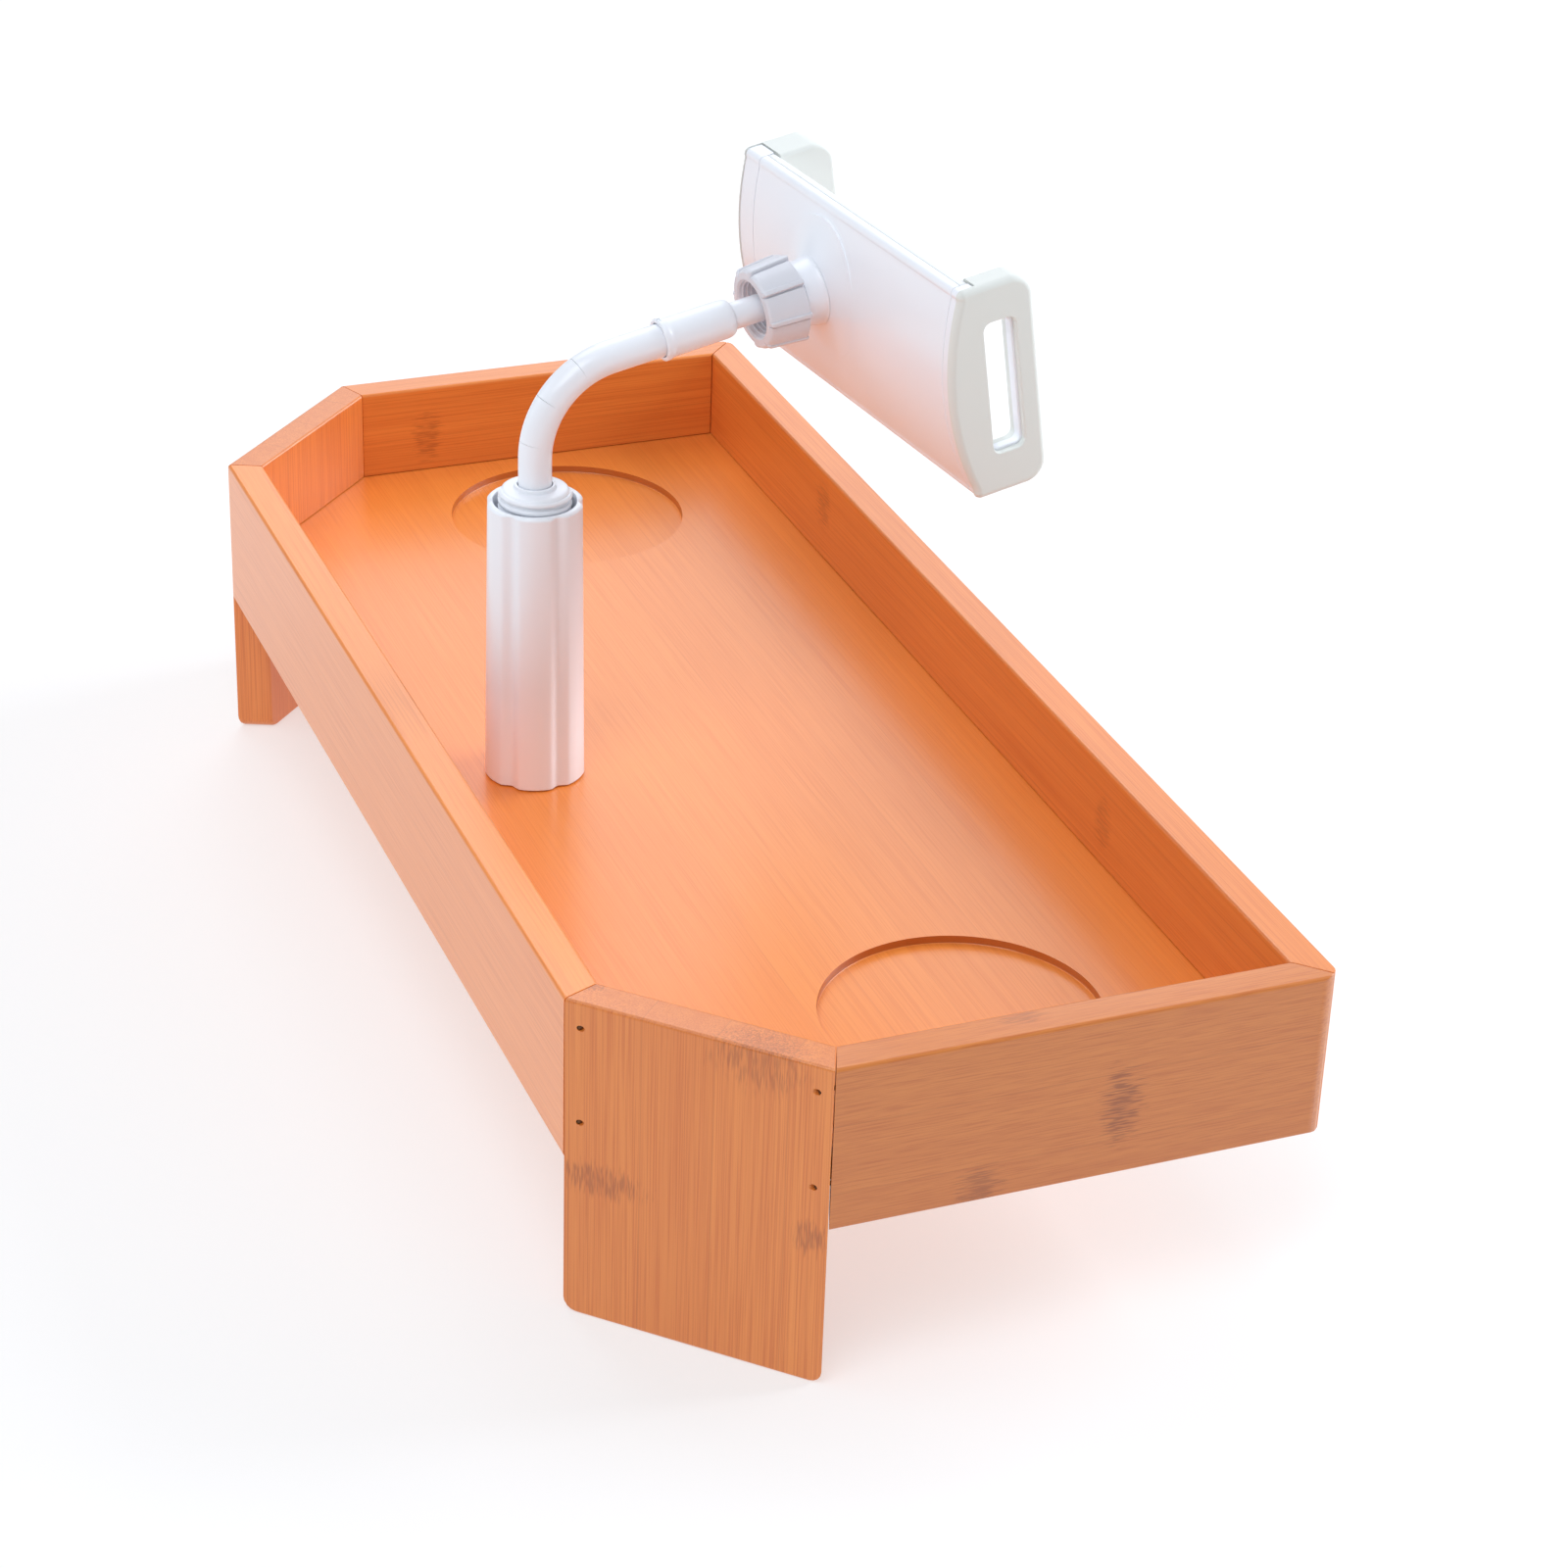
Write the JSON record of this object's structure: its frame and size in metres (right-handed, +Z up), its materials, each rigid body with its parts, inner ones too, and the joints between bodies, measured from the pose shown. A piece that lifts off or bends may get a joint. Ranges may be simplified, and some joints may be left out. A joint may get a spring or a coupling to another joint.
{
  "type": "bathtub tray",
  "caption": "Bamboo bathtub tray with two corner legs, cup recesses and a gooseneck clamp for a tablet.",
  "frame": {"origin": "middle of the tray's outline, at the level of the feet", "axes": "+X along the tray, +Y towards the straight back side that has no legs, +Z up"},
  "size_m": [0.521, 0.225, 0.27],
  "materials": {
    "wood": "oiled honey-coloured bamboo",
    "white_plastic": "smooth white",
    "grey_plastic": "pale grey, satin",
    "cover_grey": "light grey, satin",
    "pale_rubber": "light grey, matt",
    "steel": "plain zinc",
    "brass": "turned"
  },
  "bodies": {
    "tray": {"floor_panel": "wood", "front_rail": "wood", "back_rail": "wood", "right_end_rail": "wood", "left_end_rail": "wood", "right_leg": "wood", "left_leg": "wood", "right_leg_brad_1": "steel", "right_leg_brad_2": "steel", "right_leg_brad_3": "steel", "right_leg_brad_4": "steel", "left_leg_brad_1": "steel", "left_leg_brad_2": "steel", "left_leg_brad_3": "steel", "left_leg_brad_4": "steel", "grip_sleeve": "white_plastic", "threaded_collar": "white_plastic", "threaded_insert": "brass", "mounting_washer": "steel", "mounting_screw": "steel"},
    "neck_1": {"gooseneck_link_1": "white_plastic"},
    "neck_2": {"gooseneck_link_2": "white_plastic"},
    "neck_3": {"gooseneck_link_3": "white_plastic"},
    "neck_4": {"gooseneck_link_4": "white_plastic"},
    "neck_5": {"gooseneck_link_5": "white_plastic"},
    "neck_6": {"gooseneck_link_6": "white_plastic", "coupling_sleeve": "white_plastic", "ball_stud": "white_plastic"},
    "seat": {"ball_seat": "grey_plastic"},
    "socket": {"clamp_ring": "grey_plastic", "socket_base": "white_plastic", "pivot_washer": "steel", "pivot_screw": "steel"},
    "nut": {"locking_nut": "grey_plastic"},
    "clamp": {"clamp_back_shell": "white_plastic", "clamp_front_cover": "cover_grey", "cover_screw_1": "steel", "cover_screw_2": "steel", "cover_screw_3": "steel", "cover_screw_4": "steel", "fixed_jaw": "white_plastic", "fixed_jaw_pad": "pale_rubber", "fixed_jaw_screw_1": "steel", "fixed_jaw_screw_2": "steel", "jaw_spring_1": "steel", "jaw_spring_2": "steel"},
    "jaw": {"sliding_jaw": "white_plastic", "sliding_jaw_pad": "pale_rubber", "guide_rod_1": "steel", "guide_rod_2": "steel"}
  },
  "joints": [
    {"name": "neck_swivel", "type": "hinge", "parent": "tray", "child": "neck_1", "pos_m": [0.002, -0.057, 0.1825], "axis": [0, 0, 1], "range_deg": [-180, 180]},
    {"name": "neck_bend_1", "type": "hinge", "parent": "neck_1", "child": "neck_2", "pos_m": [0.002, -0.057, 0.1915], "axis": [-0.9938, -0.1115, 0], "range_deg": [-37.2, 16.8]},
    {"name": "neck_bend_2", "type": "hinge", "parent": "neck_2", "child": "neck_3", "pos_m": [0.00172, -0.05453, 0.20517], "axis": [-0.9938, -0.1115, 0], "range_deg": [-52.1, 1.9]},
    {"name": "neck_bend_3", "type": "hinge", "parent": "neck_3", "child": "neck_4", "pos_m": [0.00083, -0.04656, 0.21651], "axis": [-0.9938, -0.1115, 0], "range_deg": [-52.1, 1.9]},
    {"name": "neck_bend_4", "type": "hinge", "parent": "neck_4", "child": "neck_5", "pos_m": [-0.00052, -0.03456, 0.22338], "axis": [-0.9938, -0.1115, 0], "range_deg": [-47.7, 6.3]},
    {"name": "neck_bend_5", "type": "hinge", "parent": "neck_5", "child": "neck_6", "pos_m": [-0.00205, -0.02089, 0.22589], "axis": [-0.9938, -0.1115, 0], "range_deg": [-27, 27]},
    {"name": "ball_tilt", "type": "hinge", "parent": "neck_6", "child": "seat", "pos_m": [-0.00826, 0.03451, 0.23472], "axis": [0.9938, 0.1115, 0], "range_deg": [-13, 13]},
    {"name": "ball_pan", "type": "hinge", "parent": "seat", "child": "socket", "pos_m": [-0.00826, 0.03451, 0.23472], "axis": [0.0174, -0.1555, 0.9877], "range_deg": [-13, 13]},
    {"name": "nut_turn", "type": "hinge", "parent": "socket", "child": "nut", "pos_m": [-0.00826, 0.03451, 0.23472], "axis": [-0.1101, 0.9815, 0.1564], "range_deg": [0, 360]},
    {"name": "clamp_spin", "type": "hinge", "parent": "socket", "child": "clamp", "pos_m": [-0.00826, 0.03451, 0.23472], "axis": [-0.1101, 0.9815, 0.1564], "range_deg": [-180, 180]},
    {"name": "jaw_slide", "type": "slide", "parent": "clamp", "child": "jaw", "axis": [0.9938, 0.1115, 0], "range_m": [0, 0.06], "stiffness_N_per_m": 100, "springref_m": -0.04, "deforming": ["jaw_spring_1", "jaw_spring_2"]}
  ]
}
